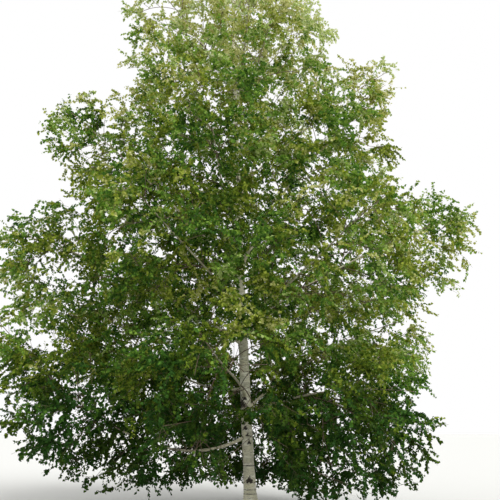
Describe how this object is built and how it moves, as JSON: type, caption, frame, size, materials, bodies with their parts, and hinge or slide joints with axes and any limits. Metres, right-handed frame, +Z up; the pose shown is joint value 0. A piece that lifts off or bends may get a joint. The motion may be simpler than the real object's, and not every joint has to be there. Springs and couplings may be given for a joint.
{
  "type": "broadleaved tree",
  "caption": "Tall slim tree in full leaf, with a pale leaning trunk flared at the foot, long thin boughs that rise and arch outwards, and a deep airy crown of small leaves.",
  "frame": {"origin": "middle of the flat cut under the trunk, at ground level", "axes": "+Z up the trunk; seen from the usual side, +X is to the right and +Y points away from the viewer"},
  "size_m": [10.7587, 8.9856, 14.9992],
  "materials": {
    "trunk_bark": "smooth papery bark",
    "bough_bark": "matt",
    "foliage": "soft satin leaf"
  },
  "bodies": {
    "root": {"trunk": "trunk_bark", "bough_high_1": "bough_bark", "bough_high_2": "bough_bark", "bough_high_3": "bough_bark", "bough_high_4": "bough_bark", "bough_lower_1": "bough_bark", "bough_lower_2": "bough_bark", "bough_lower_3": "bough_bark", "bough_lower_4": "bough_bark", "bough_lower_5": "bough_bark", "bough_lower_6": "bough_bark", "bough_middle_1": "bough_bark", "bough_middle_2": "bough_bark", "bough_middle_3": "bough_bark", "bough_middle_4": "bough_bark", "bough_middle_5": "bough_bark", "bough_middle_6": "bough_bark", "bough_skirt_1": "bough_bark", "bough_skirt_2": "bough_bark", "bough_skirt_3": "bough_bark", "bough_skirt_4": "bough_bark", "bough_skirt_5": "bough_bark", "bough_skirt_6": "bough_bark", "bough_upper_1": "bough_bark", "bough_upper_2": "bough_bark", "bough_upper_3": "bough_bark", "bough_upper_4": "bough_bark", "bough_upper_5": "bough_bark", "leaves_crest_1": "foliage", "leaves_crest_2": "foliage", "leaves_crest_3": "foliage", "leaves_high_1": "foliage", "leaves_high_2": "foliage", "leaves_high_3": "foliage", "leaves_high_4": "foliage", "leaves_lower_1": "foliage", "leaves_lower_2": "foliage", "leaves_lower_3": "foliage", "leaves_lower_4": "foliage", "leaves_lower_5": "foliage", "leaves_lower_6": "foliage", "leaves_middle_1": "foliage", "leaves_middle_2": "foliage", "leaves_middle_3": "foliage", "leaves_middle_4": "foliage", "leaves_middle_5": "foliage", "leaves_middle_6": "foliage", "leaves_skirt_1": "foliage", "leaves_skirt_2": "foliage", "leaves_skirt_3": "foliage", "leaves_skirt_4": "foliage", "leaves_skirt_5": "foliage", "leaves_skirt_6": "foliage", "leaves_summit": "foliage", "leaves_upper_1": "foliage", "leaves_upper_2": "foliage", "leaves_upper_3": "foliage", "leaves_upper_4": "foliage", "leaves_upper_5": "foliage"}
  },
  "joints": []
}
